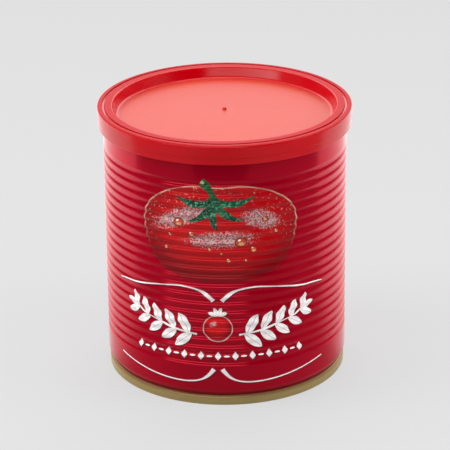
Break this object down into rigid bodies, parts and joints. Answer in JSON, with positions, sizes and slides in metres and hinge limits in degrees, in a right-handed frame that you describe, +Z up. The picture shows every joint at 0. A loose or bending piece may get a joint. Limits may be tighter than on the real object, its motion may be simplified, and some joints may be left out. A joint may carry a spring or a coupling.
{
  "type": "food tin",
  "caption": "Shut round food tin with a beaded red wall, a gold lacquered base seam and a red plastic lid with a sunk panel, pressed on over the upper seam.",
  "frame": {"origin": "centre of the ring that the tin stands on, at the base seam's lowest plane", "axes": "+Z up along the tin's axis to the lid, -Y towards the printed front"},
  "size_m": [0.1032, 0.1032, 0.1123],
  "materials": {
    "red_lacquer": "gloss printed lacquer on tinplate, with a printed front",
    "gold_lacquer": "satin gold lacquer on tinplate",
    "red_plastic": "satin moulded polyethylene"
  },
  "bodies": {
    "root": {"tin_body": "red_lacquer", "base_end": "gold_lacquer", "lid": "red_plastic"}
  },
  "joints": []
}
